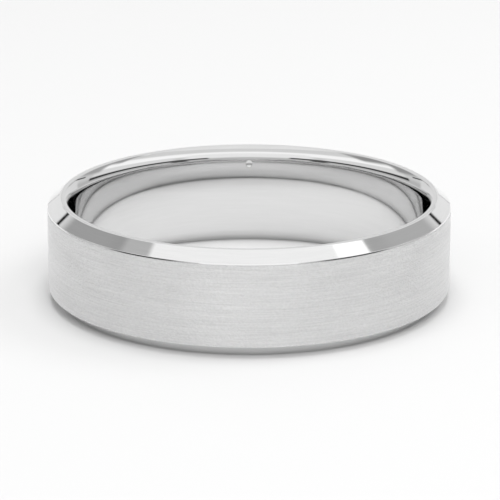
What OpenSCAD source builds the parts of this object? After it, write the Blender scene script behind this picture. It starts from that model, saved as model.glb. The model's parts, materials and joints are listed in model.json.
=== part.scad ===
// Comfort-fit wedding band: a satin centre band held between two polished
// bevelled edge rings, all three seated on one polished inner sleeve.
// The ring lies flat. +Z is the finger axis, and the origin is the centre of
// the lower rim, so the band stands on the plane z = 0.

/* [Ring size] */
// Inside diameter at the middle of the bore
bore_d = 18.95; // [16:0.01:21.3]
// Width of the band, from rim to rim
band_w = 5.6; // [4.5:0.1:8]
// Wall thickness at the middle of the band
wall_t = 1.4; // [1.35:0.05:1.8]

/* [Comfort-fit bore] */
// How far the bore opens out from its middle to the plane of the rim
bore_flare = 0.145; // [0.1:0.005:0.2]
// Depth of the straight land that is cut into the crown of the bore
land_depth = 0.018; // [0.012:0.002:0.03]
// Radius of the lip at each end of the bore
lip_r = 1.17; // [0.9:0.01:1.3]
// Radius of the tighter edge between that lip and the flat rim
lip_edge_r = 0.12; // [0.08:0.01:0.16]
// Slope of the bore where the lip meets its tighter edge
lip_slope = 45; // [35:1:50]

/* [Bevelled edges] */
// Height of each bevel, along the finger axis
bevel_h = 0.54; // [0.3:0.02:0.8]
// Reach of each bevel, from the outer face in to the rim
bevel_reach = 0.68; // [0.5:0.02:0.7]
// Height of the upright polished edge between a bevel and the satin face
edge_h = 0.1; // [0.06:0.01:0.2]

/* [Assembly] */
// Thickness of the inner sleeve at the middle of the band
sleeve_t = 0.65; // [0.62:0.01:0.7]
// Length of the spigot that each edge ring slides under the centre band
spigot_h = 0.6; // [0.3:0.05:1]
// Thickness of that spigot
spigot_t = 0.375; // [0.25:0.025:0.45]

/* [Punch mark] */
// Diameter of the plain round punch mark inside the bore
mark_d = 0.36; // [0.3:0.02:0.5]
// Distance from the upper rim down to the middle of the punch mark
mark_drop = 0.98; // [0.96:0.02:1.4]
// Depth of the punch mark
mark_depth = 0.04; // [0.03:0.01:0.1]

/* [Hidden] */
$fn = 180;
lip_steps = 10;                            // straight steps in each lip
edge_steps = 4;                            // straight steps in its tighter edge
lip_over = 0.02;                           // how far the last step of a lip runs on

bore_r = bore_d / 2;
outer_r = bore_r + wall_t;
sleeve_r = bore_r + sleeve_t;              // seat that carries the three outer rings
spigot_r = sleeve_r + spigot_t;
rim_r = outer_r - bevel_reach;             // where a bevel meets the flat rim
mid_z = band_w / 2;
seam_z = bevel_h + edge_h;                 // seam between an edge ring and the centre band
mark_z = band_w - mark_drop;               // height of the punch mark

// The bore is one large arc that bulges towards the finger. Its crown would
// stand land_depth inside bore_r, and the straight land cuts that crown off.
crown_r = bore_r - land_depth;
dome_sag = bore_flare + land_depth;
dome_r = (mid_z * mid_z + dome_sag * dome_sag) / (2 * dome_sag);
dome_x = crown_r + dome_r;

// Each lip is two arcs that touch at lip_slope: a tight one from the flat rim,
// then a wide one that runs on into the large arc of the bore.
lip_step = lip_r - lip_edge_r;
lip_z = band_w - lip_edge_r - lip_step * sin(lip_slope);
lip_x = dome_x - sqrt(pow(dome_r - lip_r, 2) - pow(lip_z - mid_z, 2));
lip_end = asin((lip_z - mid_z) / (dome_r - lip_r));
edge_x = lip_x - lip_step * cos(lip_slope);
edge_z = band_w - lip_edge_r;

// The point of a circle at one angle
function on_circle(centre, r, a) = centre + r * [cos(a), sin(a)];

// The upper lip, from the flat rim round to the bore. Its last step runs lip_over
// past the large arc, so that the two meet at a clean corner.
function lip() = concat(
    [for (i = [0:edge_steps - 1])
        on_circle([edge_x, edge_z], lip_edge_r, 90 + (90 - lip_slope) * i / edge_steps)],
    [for (i = [0:lip_steps - 1])
        on_circle([lip_x, lip_z], lip_r, 180 - lip_slope + (lip_slope - lip_end) * i / lip_steps)],
    [on_circle([lip_x, lip_z], lip_r + lip_over, 180 - lip_end)]);

// The same points at the other rim, in the opposite order
function turned_over(points) =
    [for (i = [len(points) - 1:-1:0]) [points[i][0], band_w - points[i][1]]];

// Half section of the sleeve without the dome: seat, flat rims and two lips
module sleeve_blank() {
    high = lip();
    low = turned_over(high);
    polygon(concat(
        low,
        [[sleeve_r, 0], [sleeve_r, band_w]],
        high,
        [[bore_r, high[len(high) - 1][1]], [bore_r, low[0][1]]]));
}

// Solid inside the arc of the bore
module bore_arc() {
    translate([dome_x, mid_z]) circle(r = dome_r);
}

// Round punch, square to the wall of the bore at the back
module punch() {
    rise = mark_z - mid_z;
    wall_y = dome_x - sqrt(dome_r * dome_r - rise * rise);
    tilt = asin(rise / dome_r);
    translate([0, wall_y, mark_z]) rotate([90 - tilt, 0, 0])
        translate([0, 0, -mark_depth]) cylinder(d = mark_d, h = mark_depth + mark_d);
}

// Polished inner sleeve with the domed bore
module comfort_fit_sleeve() {
    color([0.80, 0.80, 0.80]) difference() {
        rotate_extrude() intersection() {
            sleeve_blank();
            bore_arc();
        }
        punch();
    }
}

// Satin centre band, rebated at both ends to take the spigots
module center_band() {
    color([0.72, 0.72, 0.72]) rotate_extrude() polygon([
        [sleeve_r, seam_z + spigot_h],
        [spigot_r, seam_z + spigot_h],
        [spigot_r, seam_z],
        [outer_r, seam_z],
        [outer_r, band_w - seam_z],
        [spigot_r, band_w - seam_z],
        [spigot_r, band_w - seam_z - spigot_h],
        [sleeve_r, band_w - seam_z - spigot_h]]);
}

// One edge ring as it lies at the bottom: flat rim, bevel, upright edge, spigot
module bevel_ring() {
    rotate_extrude() polygon([
        [sleeve_r, 0],
        [rim_r, 0],
        [outer_r, bevel_h],
        [outer_r, seam_z],
        [spigot_r, seam_z],
        [spigot_r, seam_z + spigot_h],
        [sleeve_r, seam_z + spigot_h]]);
}

// Polished edge ring under the centre band
module lower_bevel_ring() {
    color([0.86, 0.86, 0.86]) bevel_ring();
}

// The same edge ring turned over, on top of the centre band
module upper_bevel_ring() {
    color([0.90, 0.90, 0.90]) translate([0, 0, band_w]) rotate([180, 0, 0]) bevel_ring();
}

comfort_fit_sleeve();
center_band();
upper_bevel_ring();
lower_bevel_ring();
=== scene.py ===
import bpy
import json
import math
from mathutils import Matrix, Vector


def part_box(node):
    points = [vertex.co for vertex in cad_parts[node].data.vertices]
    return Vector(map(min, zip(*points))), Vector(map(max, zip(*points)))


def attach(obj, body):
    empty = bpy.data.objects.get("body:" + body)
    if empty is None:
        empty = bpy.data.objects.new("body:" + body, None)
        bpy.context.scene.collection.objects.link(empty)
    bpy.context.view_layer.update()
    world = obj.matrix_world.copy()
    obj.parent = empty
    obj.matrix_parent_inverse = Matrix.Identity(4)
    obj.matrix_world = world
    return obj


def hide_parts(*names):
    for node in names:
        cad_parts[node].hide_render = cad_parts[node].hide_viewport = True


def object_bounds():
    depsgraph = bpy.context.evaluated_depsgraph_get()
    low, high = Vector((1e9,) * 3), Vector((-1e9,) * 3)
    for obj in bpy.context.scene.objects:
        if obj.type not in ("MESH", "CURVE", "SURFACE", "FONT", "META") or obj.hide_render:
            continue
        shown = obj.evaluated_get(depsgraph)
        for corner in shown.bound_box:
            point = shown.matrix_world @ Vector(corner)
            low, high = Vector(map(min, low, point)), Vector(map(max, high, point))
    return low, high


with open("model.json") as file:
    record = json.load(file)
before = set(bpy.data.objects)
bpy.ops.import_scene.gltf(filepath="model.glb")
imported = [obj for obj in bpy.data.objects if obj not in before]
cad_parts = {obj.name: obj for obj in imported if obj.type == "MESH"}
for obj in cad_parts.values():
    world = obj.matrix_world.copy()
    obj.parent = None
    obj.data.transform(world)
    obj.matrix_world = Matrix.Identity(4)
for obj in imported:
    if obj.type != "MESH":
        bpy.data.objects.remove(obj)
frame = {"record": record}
cad_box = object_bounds()

MM = 0.001

# ---------------------------------------------------------------- sizes from the frame
band_low, band_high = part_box("center_band")
sleeve_low, sleeve_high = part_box("comfort_fit_sleeve")
lower_ring_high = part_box("lower_bevel_ring")[1]
mounts = {mount["name"]: mount for mount in frame["record"]["mounts"]}

OUTER_R = band_high.x                      # satin face
SLEEVE_R = sleeve_high.x                   # seat between the sleeve and the outer rings
BORE_R = mounts["finger_bore"]["dims"]["r_mm"] * MM    # narrowest place of the bore
BASE_Z = sleeve_low.z                      # lower rim
TOP_Z = sleeve_high.z                      # upper rim
WIDTH = TOP_Z - BASE_Z
MID_Z = BASE_Z + WIDTH / 2
SEAM_Z = band_low.z                        # seam between the lower ring and the centre band
SPIGOT_TOP = lower_ring_high.z             # end of the spigot under the centre band

# ---------------------------------------------------------------- details of the pieces
BEVEL_H = 0.54 * MM                        # height of a bevel
BEVEL_REACH = 0.68 * MM                    # reach of a bevel, from the satin face to the rim
SPIGOT_T = 0.375 * MM                      # thickness of a spigot
DOME_R = 24.13 * MM                        # large arc of the comfort-fit bore
LAND_DEPTH = 0.018 * MM                    # the crown of that arc stands this far inside BORE_R
DOME_X = BORE_R - LAND_DEPTH + DOME_R      # centre of the large arc, from the finger axis
LIP_R = 1.17 * MM                          # lip at each end of the bore
LIP_EDGE_R = 0.12 * MM                     # its tighter edge, up to the flat rim
LIP_CORNER = 45                            # slope where the two meet, degrees

MARK_R = 0.18 * MM                         # punch mark, at the back of the bore
MARK_DEPTH = 0.03 * MM
MARK_Z = TOP_Z - 0.98 * MM
MARK_AZIMUTH = math.pi / 2
MARK_WALL = 0.1 * MM                       # only metal this close to the bore is pressed
MARK_BLUNTNESS = 0.7                       # less than 1 gives the dimple a flatter floor

EDGE_FILLET = 0.04 * MM                    # between a bevel and the upright edge
UPPER_TILT = 0.03 * MM                     # the upper upright edge leans in, towards its bevel
LOWER_TILT = 0.08 * MM                     # the lower one leans in more
RIM_FILLET = 0.06 * MM                     # between a bevel and the flat rim
SEAM_FILLET = 0.018 * MM                   # broken corners at the seams
HIDDEN_FILLET = 0.03 * MM                  # corners inside the joint
GUARD = 0.012 * MM                         # extra line beside each fillet, so flats shade flat

TURN_STEPS = 512                           # round the finger axis
FILLET_STEPS = 8
LIP_EDGE_STEPS = 16
LIP_STEPS = 40
DOME_STEPS = 200
MARK_STEPS = 60                            # fine steps round the axis, across the mark


# ---------------------------------------------------------------- outlines
def arc(cx, cz, radius, start, end, steps):
    """Points of an arc, from one angle to another, in degrees."""
    points = []
    for i in range(steps + 1):
        a = math.radians(start + (end - start) * i / steps)
        points.append((cx + radius * math.cos(a), cz + radius * math.sin(a)))
    return points


def rounded(corners):
    """A closed outline through corners (r, z, fillet), each turned into an arc."""
    outline = []
    count = len(corners)
    for i, (r, z, fillet) in enumerate(corners):
        here = Vector((r, z))
        if fillet == 0:
            outline.append(tuple(here))
            continue
        before = Vector(corners[i - 1][:2]) - here
        after = Vector(corners[(i + 1) % count][:2]) - here
        before.normalize()
        after.normalize()
        half = math.acos(max(-1, min(1, before.dot(after)))) / 2
        run = fillet / math.tan(half)
        centre = here + (before + after).normalized() * (fillet / math.sin(half))
        first = here + before * run - centre
        last = here + after * run - centre
        turn = first.angle_signed(last)
        outline.append(tuple(here + before * (run + GUARD)))
        for k in range(FILLET_STEPS + 1):
            a = -turn * k / FILLET_STEPS
            c = math.cos(a)
            s = math.sin(a)
            spoke = Vector((first.x * c - first.y * s, first.x * s + first.y * c))
            outline.append(tuple(centre + spoke))
        outline.append(tuple(here + after * (run + GUARD)))
    return outline


def mirrored(z):
    """The height that lies as far from the other rim."""
    return 2 * MID_Z - z


def turned_over(outline):
    """The same outline on the other rim of the band."""
    return [(r, mirrored(z)) for r, z in reversed(outline)]


def bevel_outline(tilt):
    """An edge ring as it lies at the bottom."""
    spigot_r = SLEEVE_R + SPIGOT_T
    return rounded([
        (SLEEVE_R, BASE_Z, SEAM_FILLET),
        (OUTER_R - BEVEL_REACH, BASE_Z, RIM_FILLET),
        (OUTER_R - tilt, BASE_Z + BEVEL_H, EDGE_FILLET),
        (OUTER_R, SEAM_Z, SEAM_FILLET),
        (spigot_r, SEAM_Z, HIDDEN_FILLET),
        (spigot_r, SPIGOT_TOP, HIDDEN_FILLET),
        (SLEEVE_R, SPIGOT_TOP, HIDDEN_FILLET),
    ])


def band_outline():
    """The centre band, with a rebate at both ends for the spigots."""
    spigot_r = SLEEVE_R + SPIGOT_T
    return rounded([
        (SLEEVE_R, SPIGOT_TOP, HIDDEN_FILLET),
        (spigot_r, SPIGOT_TOP, HIDDEN_FILLET),
        (spigot_r, SEAM_Z, HIDDEN_FILLET),
        (OUTER_R, SEAM_Z, SEAM_FILLET),
        (OUTER_R, mirrored(SEAM_Z), SEAM_FILLET),
        (spigot_r, mirrored(SEAM_Z), HIDDEN_FILLET),
        (spigot_r, mirrored(SPIGOT_TOP), HIDDEN_FILLET),
        (SLEEVE_R, mirrored(SPIGOT_TOP), HIDDEN_FILLET),
    ])


def bore_outline():
    """The polished bore from the upper rim to the lower one: lip, large arc, lip."""
    corner = math.radians(LIP_CORNER)
    lip_step = LIP_R - LIP_EDGE_R
    edge_z = WIDTH / 2 - LIP_EDGE_R
    lip_z = edge_z - lip_step * math.sin(corner)
    lip_x = DOME_X - math.sqrt((DOME_R - LIP_R) ** 2 - lip_z ** 2)
    edge_x = lip_x - lip_step * math.cos(corner)
    turn = math.degrees(math.asin(lip_z / (DOME_R - LIP_R)))
    upper = arc(edge_x, edge_z, LIP_EDGE_R, 90, 180 - LIP_CORNER, LIP_EDGE_STEPS)
    upper += arc(lip_x, lip_z, LIP_R, 180 - LIP_CORNER, 180 - turn, LIP_STEPS)[1:]
    dome = arc(DOME_X, 0, DOME_R, 180 - turn, 180 + turn, DOME_STEPS)[1:-1]
    lower = [(r, -z) for r, z in reversed(upper)]
    return [(r, MID_Z + z) for r, z in upper + dome + lower]


def sleeve_outline():
    """The inner sleeve: its seat, two flat rims and the bore."""
    seat = rounded([
        (SLEEVE_R, BASE_Z, SEAM_FILLET),
        (SLEEVE_R, TOP_Z, SEAM_FILLET),
        (BORE_R, TOP_Z, 0),
        (BORE_R, BASE_Z, 0),
    ])
    return seat[:-2] + bore_outline()


# ---------------------------------------------------------------- meshes
def even_angles():
    return [2 * math.pi * i / TURN_STEPS for i in range(TURN_STEPS)]


def angles_with_mark():
    """Even steps, with fine steps across the punch mark at the back of the bore."""
    span = 2 * MARK_R / BORE_R
    clear = span * 1.05
    fine = [MARK_AZIMUTH - span + 2 * span * i / MARK_STEPS for i in range(MARK_STEPS + 1)]
    coarse = [a for a in even_angles() if abs(a - MARK_AZIMUTH) > clear]
    return sorted(coarse + fine)


def lathe(name, outline, angles, material, node):
    """A closed ring: the outline turned round the finger axis."""
    verts = [(r * math.cos(a), r * math.sin(a), z) for a in angles for r, z in outline]
    rows = len(angles)
    cols = len(outline)
    faces = []
    for i in range(rows):
        j = (i + 1) % rows
        for k in range(cols):
            m = (k + 1) % cols
            faces.append((i * cols + k, i * cols + m, j * cols + m, j * cols + k))
    mesh = bpy.data.meshes.new(name)
    mesh.from_pydata(verts, [], faces)
    mesh.validate()
    mesh.polygons.foreach_set("use_smooth", [True] * len(mesh.polygons))
    mesh.materials.append(material)
    piece = bpy.data.objects.new(name, mesh)
    bpy.context.scene.collection.objects.link(piece)
    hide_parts(node)
    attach(piece, "root")
    return piece


def punch_mark(piece):
    """Presses a plain round dimple into the back of the bore."""
    wall_y = DOME_X - math.sqrt(DOME_R ** 2 - (MARK_Z - MID_Z) ** 2)
    for v in piece.data.vertices:
        at_back = v.co.y >= 0
        near_wall = math.hypot(v.co.x, v.co.y) <= wall_y + MARK_WALL
        d = math.hypot(v.co.x, v.co.z - MARK_Z) / MARK_R
        if at_back and near_wall and d < 1:
            v.co.y += MARK_DEPTH * (1 - d * d) ** MARK_BLUNTNESS


# ---------------------------------------------------------------- nodes
def feed(tree, value, socket):
    """Puts a number in a socket, or links another node's output to it."""
    if isinstance(value, (int, float)):
        socket.default_value = value
    else:
        tree.links.new(value, socket)


def math_node(tree, operation, *values):
    """A Math node whose inputs are numbers or other nodes' outputs."""
    node = tree.nodes.new("ShaderNodeMath")
    node.operation = operation
    for socket, value in zip(node.inputs, values):
        feed(tree, value, socket)
    return node.outputs["Value"]


def remap(tree, value, span, to_span):
    """The value, moved from one span (low, high) to another and kept inside it."""
    node = tree.nodes.new("ShaderNodeMapRange")
    node.inputs["From Min"].default_value = span[0]
    node.inputs["From Max"].default_value = span[1]
    node.inputs["To Min"].default_value = to_span[0]
    node.inputs["To Max"].default_value = to_span[1]
    tree.links.new(value, node.inputs["Value"])
    return node


def grey(tree, value):
    """A colour with the same value in all three channels."""
    node = tree.nodes.new("ShaderNodeCombineColor")
    for channel in ("Red", "Green", "Blue"):
        tree.links.new(value, node.inputs[channel])
    return node.outputs["Color"]


def stretched_noise(tree, scale, detail=2.0, roughness=0.6):
    """Noise in the object's own space, with its own scale along each axis, per metre."""
    coord = tree.nodes.new("ShaderNodeTexCoord")
    mapping = tree.nodes.new("ShaderNodeMapping")
    mapping.inputs["Scale"].default_value = scale
    noise = tree.nodes.new("ShaderNodeTexNoise")
    noise.inputs["Scale"].default_value = 1.0
    noise.inputs["Detail"].default_value = detail
    noise.inputs["Roughness"].default_value = roughness
    tree.links.new(coord.outputs["Object"], mapping.inputs["Vector"])
    tree.links.new(mapping.outputs["Vector"], noise.inputs["Vector"])
    return noise.outputs["Fac"]


# ---------------------------------------------------------------- materials
GRAIN_SCALE = (7000, 7000, 11000)          # fine speckle of the satin face
LINE_SCALE = (350, 350, 16000)             # brushed lines round the band
BROAD_SCALE = (220, 220, 700)              # slow change of the finish
POLISH_SCALE = (500, 500, 9000)            # faint lines that polishing leaves
NOISE_MIDDLE = (0.3, 0.7)                  # span that holds most of a noise's values
NOISE_WIDE = (0.2, 0.8)

GRAIN_SHARE = 0.35                         # of the satin face's light and dark
LINE_SHARE = 0.65
SATIN_BRIGHTNESS = (0.72, 0.87)
SATIN_ROUGHNESS = (0.34, 0.40)
SATIN_ANISOTROPY = 0.95
QUARTER_TURN = 0.25                        # spreads reflections across the brushed lines
SATIN_BUMP = 0.04 * MM

EDGE_BRIGHTNESS = 0.90
BORE_BRIGHTNESS = 0.78
POLISH_SPREAD = 0.02                       # brightness goes this far up and down
POLISH_ROUGHNESS = (0.03, 0.06)


def new_material(name):
    """A material with one shader, its node tree and the shader."""
    material = bpy.data.materials.new(name)
    material.use_nodes = True
    tree = material.node_tree
    tree.nodes.clear()
    out = tree.nodes.new("ShaderNodeOutputMaterial")
    shader = tree.nodes.new("ShaderNodeBsdfPrincipled")
    tree.links.new(shader.outputs["BSDF"], out.inputs["Surface"])
    return material, tree, shader


def satin_metal():
    """Satin white metal, with fine lines brushed round the band."""
    material, tree, shader = new_material("satin_white_metal")
    shader.inputs["Metallic"].default_value = 1.0
    shader.inputs["Anisotropic"].default_value = SATIN_ANISOTROPY
    shader.inputs["Anisotropic Rotation"].default_value = QUARTER_TURN
    tangent = tree.nodes.new("ShaderNodeTangent")
    tangent.direction_type = "RADIAL"
    tangent.axis = "Z"
    tree.links.new(tangent.outputs["Tangent"], shader.inputs["Tangent"])

    grain = stretched_noise(tree, GRAIN_SCALE, detail=1.0, roughness=0.5)
    lines = stretched_noise(tree, LINE_SCALE, detail=3.0)
    grain_part = math_node(tree, "MULTIPLY", grain, GRAIN_SHARE)
    line_part = math_node(tree, "MULTIPLY", lines, LINE_SHARE)
    shade = math_node(tree, "ADD", grain_part, line_part)
    brightness = remap(tree, shade, NOISE_MIDDLE, SATIN_BRIGHTNESS)
    colour = grey(tree, brightness.outputs["Result"])
    tree.links.new(colour, shader.inputs["Base Color"])

    broad = stretched_noise(tree, BROAD_SCALE)
    roughness = remap(tree, broad, NOISE_MIDDLE, SATIN_ROUGHNESS)
    tree.links.new(roughness.outputs["Result"], shader.inputs["Roughness"])

    bump = tree.nodes.new("ShaderNodeBump")
    bump.inputs["Strength"].default_value = 1.0
    bump.inputs["Distance"].default_value = SATIN_BUMP
    tree.links.new(grain, bump.inputs["Height"])
    tree.links.new(bump.outputs["Normal"], shader.inputs["Normal"])
    return material


def polished_metal(name, middle):
    """Mirror-polished white metal, with the faint lines that polishing leaves."""
    material, tree, shader = new_material(name)
    shader.inputs["Metallic"].default_value = 1.0
    fine = stretched_noise(tree, POLISH_SCALE, detail=3.0)
    span = (middle - POLISH_SPREAD, middle + POLISH_SPREAD)
    brightness = remap(tree, fine, NOISE_WIDE, span)
    colour = grey(tree, brightness.outputs["Result"])
    tree.links.new(colour, shader.inputs["Base Color"])
    roughness = remap(tree, fine, NOISE_MIDDLE, POLISH_ROUGHNESS)
    tree.links.new(roughness.outputs["Result"], shader.inputs["Roughness"])
    return material


# ---------------------------------------------------------------- pieces
def build_ring():
    satin = satin_metal()
    bright = polished_metal("polished_edge_metal", EDGE_BRIGHTNESS)
    polished = polished_metal("polished_bore_metal", BORE_BRIGHTNESS)
    even = even_angles()
    lower = bevel_outline(LOWER_TILT)
    upper = turned_over(bevel_outline(UPPER_TILT))
    lathe("polished_lower_edge", lower, even, bright,
          "lower_bevel_ring")
    lathe("polished_upper_edge", upper, even, bright,
          "upper_bevel_ring")
    lathe("satin_band", band_outline(), even, satin,
          "center_band")
    sleeve = lathe("polished_sleeve", sleeve_outline(), angles_with_mark(), polished,
                   "comfort_fit_sleeve")
    punch_mark(sleeve)


# ---------------------------------------------------------------- floor
FLOOR_WHITE = 0.6
FLOOR_HALF = 1.5                           # half the side of the floor, metres
FLOOR_GAP = 0.002 * MM                     # keeps the floor off the lower rim


def floor_paper():
    """Plain pale paper under the ring."""
    material, tree, shader = new_material("pale_floor")
    shader.inputs["Base Color"].default_value = (FLOOR_WHITE, FLOOR_WHITE, FLOOR_WHITE, 1)
    shader.inputs["Roughness"].default_value = 1.0
    shader.inputs["Specular IOR Level"].default_value = 0.0
    return material


def build_floor():
    h = FLOOR_HALF
    corners = [(-h, -h, 0), (h, -h, 0), (h, h, 0), (-h, h, 0)]
    mesh = bpy.data.meshes.new("floor")
    mesh.from_pydata(corners, [], [(0, 1, 2, 3)])
    mesh.materials.append(floor_paper())
    floor = bpy.data.objects.new("floor", mesh)
    bpy.context.scene.collection.objects.link(floor)
    floor.location.z = cad_box[0][2] - FLOOR_GAP


# ---------------------------------------------------------------- studio
# The light tent, as the ring sees it. Azimuth 0 is the camera's side and 90 is the
# right, and every angle is in degrees. Each panel: its middle azimuth, half its
# width, its middle elevation, half its height, the softness of its border and its
# brightness. A later panel covers an earlier one.
TENT_BRIGHTNESS = 0.72
ALL_ROUND = 180
PANELS = [
    (0, ALL_ROUND, 0, 12, 4, 0.56),        # lower wall of the tent
    (0, 90, 52, 12, 4, 0.78),              # front wall, above the diffusers
    (0, 122, 34, 8, 4, 1.16),              # front and side diffusers
    (0, 44, 22, 11, 5, 1.00),              # front diffuser, lower part
    (-88, 36, 20, 7, 3, 0.84),             # grey wall under the left diffuser
    (88, 36, 20, 7, 3, 0.86),              # grey wall under the right diffuser
    (-77, 50, 11, 3, 1.5, 0.04),           # black card on the left
    (77, 50, 11, 3, 1.5, 0.06),            # black card on the right
    (-47, 6, 4, 9, 3, 0.10),               # dark post, front left
    (47, 6, 4, 9, 3, 0.10),                # dark post, front right
    (-113, 24, 45, 9, 5, 0.34),            # grey wall, back left
    (122, 18, 46, 9, 4, 0.40),             # grey wall, back right
    (-130, 12, 36, 13, 4, 0.36),           # lower part of the back left wall
    (130, 12, 36, 13, 4, 0.44),            # lower part of the back right wall
    (-103, 10, 55.5, 5, 2, 0.48),          # upper part of the back left wall
    (180, 16, 44, 20, 4, 0.92),            # window of the tent behind the ring
    (180, 37, 6, 12, 2, 0.82),             # back of the table
    (150, 16, 19.5, 1, 0.7, 0.0),          # edge of the table, right
    (-150, 16, 19.5, 1, 0.7, 0.0),         # edge of the table, left
    (0, ALL_ROUND, 90, 30, 1, 0.94),       # ceiling diffuser
    (103.4, 6.4, 59.5, 7, 0.8, 1.25),      # brighter lamp at the back right
]


def soft_window(tree, distance, half, softness):
    """1 where distance is well under half, 0 well over it."""
    node = remap(tree, distance, (half - softness, half + softness), (1.0, 0.0))
    node.interpolation_type = "SMOOTHSTEP"
    return node.outputs["Result"]


def panel_mask(tree, azimuth, elevation, panel):
    """1 inside the panel and 0 outside it, with a soft border."""
    middle_az, half_az, middle_el, half_el, softness = panel
    offset = math_node(tree, "SUBTRACT", elevation, middle_el)
    height = math_node(tree, "ABSOLUTE", offset)
    mask = soft_window(tree, height, half_el, softness)
    if half_az == ALL_ROUND:
        return mask
    turned = math_node(tree, "SUBTRACT", azimuth, middle_az)
    wrapped = math_node(tree, "WRAP", turned, 180.0, -180.0)
    side = math_node(tree, "ABSOLUTE", wrapped)
    return math_node(tree, "MULTIPLY", mask, soft_window(tree, side, half_az, softness))


def build_world():
    world = bpy.data.worlds.new("light_tent")
    bpy.context.scene.world = world
    world.use_nodes = True
    tree = world.node_tree
    tree.nodes.clear()
    out = tree.nodes.new("ShaderNodeOutputWorld")
    back = tree.nodes.new("ShaderNodeBackground")
    tree.links.new(back.outputs["Background"], out.inputs["Surface"])

    coord = tree.nodes.new("ShaderNodeTexCoord")
    split = tree.nodes.new("ShaderNodeSeparateXYZ")
    tree.links.new(coord.outputs["Generated"], split.inputs["Vector"])
    towards_camera = math_node(tree, "MULTIPLY", split.outputs["Y"], -1.0)
    azimuth_radians = math_node(tree, "ARCTAN2", split.outputs["X"], towards_camera)
    azimuth = math_node(tree, "DEGREES", azimuth_radians)
    elevation_radians = math_node(tree, "ARCSINE", split.outputs["Z"])
    elevation = math_node(tree, "DEGREES", elevation_radians)

    light = TENT_BRIGHTNESS
    for *panel, brightness in PANELS:
        mix = tree.nodes.new("ShaderNodeMix")
        feed(tree, light, mix.inputs["A"])
        feed(tree, brightness, mix.inputs["B"])
        feed(tree, panel_mask(tree, azimuth, elevation, panel), mix.inputs["Factor"])
        light = mix.outputs["Result"]
    tree.links.new(grey(tree, light), back.inputs["Color"])


# Lamps that light the floor and throw the shadow. The metal mirrors the tent only.
# Each lamp: name, diameter, place and power in watts.
LAMPS = [
    ("key_lamp", 130 * MM, Vector((150, 40, 190)) * MM, 0.10),
    ("top_lamp", 250 * MM, Vector((0, 0, 500)) * MM, 1.25),
    ("front_lamp", 250 * MM, Vector((40, -360, 360)) * MM, 0.85),
]


def facing(direction):
    """Turns a lamp or a camera so that it looks along the direction."""
    return direction.to_track_quat("-Z", "Y").to_euler()


def build_lamps():
    for name, size, place, power in LAMPS:
        data = bpy.data.lights.new(name, "AREA")
        data.shape = "DISK"
        data.size = size
        data.energy = power
        lamp = bpy.data.objects.new(name, data)
        bpy.context.scene.collection.objects.link(lamp)
        lamp.location = place
        lamp.rotation_euler = facing(-place)
        lamp.visible_glossy = False


# ---------------------------------------------------------------- camera
CAMERA_DISTANCE = 151.9 * MM
CAMERA_ELEVATION = 18.19                   # of its place, seen from the origin, degrees
CAMERA_X = 0.05 * MM
CAMERA_LENS = 200.5                        # focal length and sensor in Blender's millimetres
CAMERA_SENSOR = 36
AIM_Z = 2.415 * MM


def build_camera():
    data = bpy.data.cameras.new("camera")
    data.lens = CAMERA_LENS
    data.sensor_width = CAMERA_SENSOR
    camera = bpy.data.objects.new("camera", data)
    bpy.context.scene.collection.objects.link(camera)
    e = math.radians(CAMERA_ELEVATION)
    back = CAMERA_DISTANCE * math.cos(e)
    up = CAMERA_DISTANCE * math.sin(e)
    place = Vector((CAMERA_X, -back, up))
    aim = Vector((CAMERA_X, 0, AIM_Z))
    camera.location = place
    camera.rotation_euler = facing(aim - place)
    bpy.context.scene.camera = camera


build_ring()
build_floor()
build_world()
build_lamps()
build_camera()

bpy.context.scene.view_settings.view_transform = "Standard"
